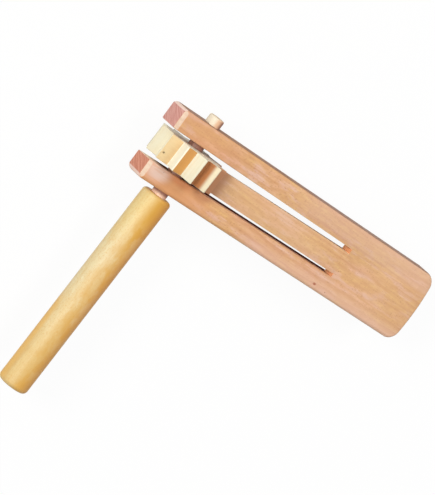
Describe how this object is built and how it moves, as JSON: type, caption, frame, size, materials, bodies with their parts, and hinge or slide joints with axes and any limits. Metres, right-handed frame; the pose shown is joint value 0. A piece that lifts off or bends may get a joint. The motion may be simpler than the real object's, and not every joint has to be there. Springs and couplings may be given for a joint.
{
  "type": "wooden ratchet",
  "caption": "Hand-swung wooden ratchet: a forked beech board whose springy tongue clicks on a toothed cog, turned on a spindle by a long round handle.",
  "frame": {"origin": "under the middle of the whole part's box, at the level of the cog's lowest tooth, as it lies with the board's front face up", "axes": "+X along the board from the arms' free ends to the solid end, +Y along the spindle from handle to peg, +Z out of the board's front face"},
  "size_m": [0.2818, 0.2234, 0.0521],
  "materials": {
    "beech": "sanded and clear lacquered beech, pinkish orange, lengthwise grain with fine flecks",
    "limewood": "pale sanded limewood",
    "spindle_beech": "sanded beech dowel",
    "varnished_pine": "yellow clear varnish over a turned dowel",
    "steel": "dull nail steel"
  },
  "bodies": {
    "frame": {"frame_block": "beech"},
    "rotor": {"cog_wheel": "limewood", "spindle": "spindle_beech", "handle": "varnished_pine", "cog_pin": "steel"},
    "tongue": {"tongue": "beech"}
  },
  "joints": [
    {"name": "cog_spin", "type": "hinge", "parent": "frame", "child": "rotor", "pos_m": [-0.10925, 0.0792, 0.02649], "axis": [0, 1, 0], "continuous": true},
    {"name": "tongue_flex", "type": "hinge", "parent": "frame", "child": "tongue", "pos_m": [0.05375, 0.0773, 0.03054], "axis": [0, 1, 0], "range_deg": [0, 2.5], "stiffness_Nm_per_rad": 20}
  ]
}
